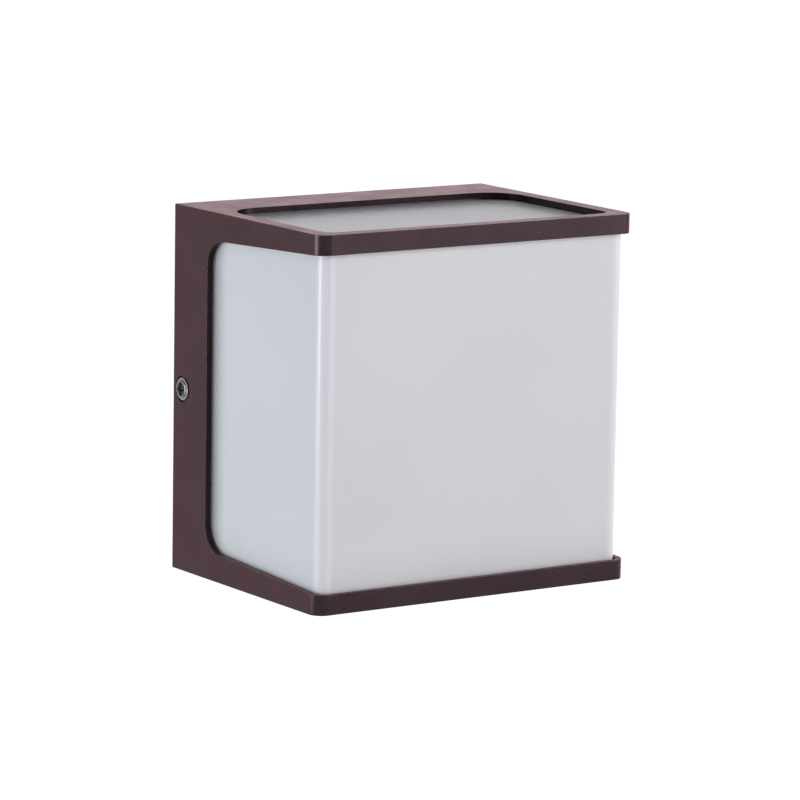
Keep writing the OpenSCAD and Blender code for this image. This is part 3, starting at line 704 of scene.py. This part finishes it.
def make_thread_sleeve(name, node, wall, depth, start, end, lip_r):
    """Thin rolled sleeve with a screw thread between start and end above its foot, and an
    inward lip of radius lip_r at the foot."""
    sides, steps = 96, 16
    low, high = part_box(node)
    crest_r = (high.x - low.x) / 2
    height = high.z - low.z
    valley_r = crest_r - depth
    form = bmesh.new()

    def outside(share, z):
        return valley_r + thread_wave(share, z, depth, start, end)

    def inside(share, z):
        return outside(share, z) - wall

    outer = rings_up(form, outside, THREAD_PITCH, 0, height, sides, steps)
    inner = rings_up(form, inside, THREAD_PITCH, wall, height, sides, steps)
    lip = [ring(form, lip_r, wall, sides), ring(form, lip_r, 0, sides)]
    join_rings(form, outer + inner[::-1] + lip, closed=True)
    foot = ((low.x + high.x) / 2, (low.y + high.y) / 2, low.z)
    bmesh.ops.translate(form, verts=form.verts, vec=foot)
    new_piece(name, form, node)


def smooth_route(points, steps):
    """Points on a smooth curve through a list of (X, depth, Z) in millimetres, in metres."""
    knots = [Vector((x, -depth, z)) * MM for x, depth, z in points]
    route = []
    for i in range(len(knots) - 1):
        a, b = knots[max(i - 1, 0)], knots[i]
        c, d = knots[i + 1], knots[min(i + 2, len(knots) - 1)]
        for j in range(steps):
            t = j / steps
            route.append(0.5 * (2 * b + (c - a) * t + (2 * a - 5 * b + 4 * c - d) * t * t
                                + (3 * b - a - 3 * c + d) * t * t * t))
    return route + [knots[-1]]


def make_lead(name, node, points, start_z, end_z, *more):
    """Round insulated wire with stranded bare ends, fixed in a terminal at each end. Its third
    material, if any, is a stripe along the sleeve."""
    sleeve_r, strand_r = 1.19 * MM, 0.69 * MM
    strand_waves, strand_depth, twist = 3.5, 0.14, 0.5      # twist is in radians per millimetre
    sides, steps, bare = 24, 8, 14
    middle = smooth_route(points, steps)
    first, last = middle[0], middle[-1]
    path, kinds = [], []
    for i in range(bare + 1):
        path.append(first.lerp(Vector((first.x, first.y, start_z * MM)), 1 - i / bare))
        kinds.append("wire")
    for point in middle:
        path.append(point)
        kinds.append("sleeve")
    for i in range(bare + 1):
        path.append(last.lerp(Vector((last.x, last.y, end_z * MM)), i / bare))
        kinds.append("wire")
    form = bmesh.new()
    rings = []
    along = (path[1] - path[0]).normalized()
    side = along.cross(Vector((0.3, 1, 0))).normalized()
    walked = 0.0
    for i, point in enumerate(path):
        ahead = path[min(i + 1, len(path) - 1)] - path[max(i - 1, 0)]
        along = ahead.normalized()
        side = (side - side.dot(along) * along).normalized()
        across = along.cross(side)
        walked += (point - path[max(i - 1, 0)]).length
        row = []
        for k in range(sides):
            a = math.tau * k / sides
            strands = abs(math.cos(strand_waves * (a - walked / MM * twist)))
            bare_r = strand_r * (1 - strand_depth + strand_depth * strands)
            r = sleeve_r if kinds[i] == "sleeve" else bare_r
            row.append(form.verts.new(point + r * (math.cos(a) * side + math.sin(a) * across)))
        rings.append(row)
    for i in range(len(rings) - 1):
        for k in range(sides):
            n = (k + 1) % sides
            face = form.faces.new((rings[i][k], rings[i][n], rings[i + 1][n], rings[i + 1][k]))
            if kinds[i] == "wire" and kinds[i + 1] == "wire":
                face.material_index = 1
            elif more and k % (sides // 2) < sides // 6:
                face.material_index = 2
    for row in (rings[0], rings[-1]):
        form.faces.new(row).material_index = 1
    new_piece(name, form, node, MATERIALS["tinned_copper"], *more)


# Routes of the inner leads, as (X, depth, Z) in millimetres
LIVE_ROUTE = [(19, 8.3, 34), (19, 8.3, 28), (17, 8.5, 15), (12, 9, -2), (4, 11, -20),
              (-4, 18, -36), (-8, 28, -46), (-9, 34.5, -50.5), (-9, 35.7, -54)]
NEUTRAL_ROUTE = [(30, 8.3, 34), (29.5, 8.3, 27), (27, 8.5, 12), (23, 9, -5), (18, 11.5, -22),
                 (13, 18, -36), (10, 28, -46), (9, 34.5, -50.5), (9, 35.7, -54)]
EARTH_ROUTE = [(41, 8.3, 34), (41.5, 8.3, 31), (44, 8.4, 27.5), (49, 8.6, 26), (53.5, 8.7, 24),
               (55, 8.7, 19.4)]


# ---------------------------------------------------------------- the scene

MATERIALS = make_materials()
make_camera()
bpy.context.scene.view_settings.view_transform = "Standard"
make_world(FILL, OVERHEAD, BACKDROP)
make_softbox("left_box", (-1.85, 0.62, -0.08), (1.15, 0.62), 15, (0.88, 0.94, 1.0))
make_softbox("right_box", (1.95, -1.65, 0.52), (1.2, 1.5), 14.5, (1.0, 0.965, 0.98))
make_softbox("front_box", (-0.5, -1.9, 1.15), (0.9, 0.6), 9.4, (1.0, 0.97, 1.0))
make_softbox("bar_box", (1.27, -1.93, 0.0), (1.3, 0.8), 3.2, (1.0, 0.95, 0.97))
make_floor(FLOOR_HEIGHT, FLOOR_HALF)

make_side_screw("left_side_screw", "side_screw_left", -1)
make_side_screw("right_side_screw", "side_screw_right", 1)
make_thread_sleeve("cap_sleeve", "bulb_cap", wall=0.4 * MM, depth=0.45 * MM, start=0.6 * MM,
                   end=20.2 * MM, lip_r=11.6 * MM)
make_thread_sleeve("holder_sleeve", "lampholder_shell", wall=0.45 * MM, depth=0.45 * MM,
                   start=1.2 * MM, end=22 * MM, lip_r=9 * MM)
BLOCK_Z, HOLDER_Z, EARTH_Z = 39.5, -59.5, 14.8      # heights of the leads' ends, in millimetres
make_lead("live_lead", "lead_live", LIVE_ROUTE, BLOCK_Z, HOLDER_Z)
make_lead("neutral_lead", "lead_neutral", NEUTRAL_ROUTE, BLOCK_Z, HOLDER_Z)
make_lead("earth_lead", "lead_earth", EARTH_ROUTE, BLOCK_Z, EARTH_Z, MATERIALS["lead_yellow"])
REPLACED = {"side_screw_left", "side_screw_right", "bulb_cap", "lampholder_shell",
            "lead_live", "lead_neutral", "lead_earth"}
for name in sorted(set(NODES) - REPLACED):
    paint(NODES[name], MATERIALS[SLOT_OF[name]])
    finish_node(name)

bpy.context.view_layer.update()
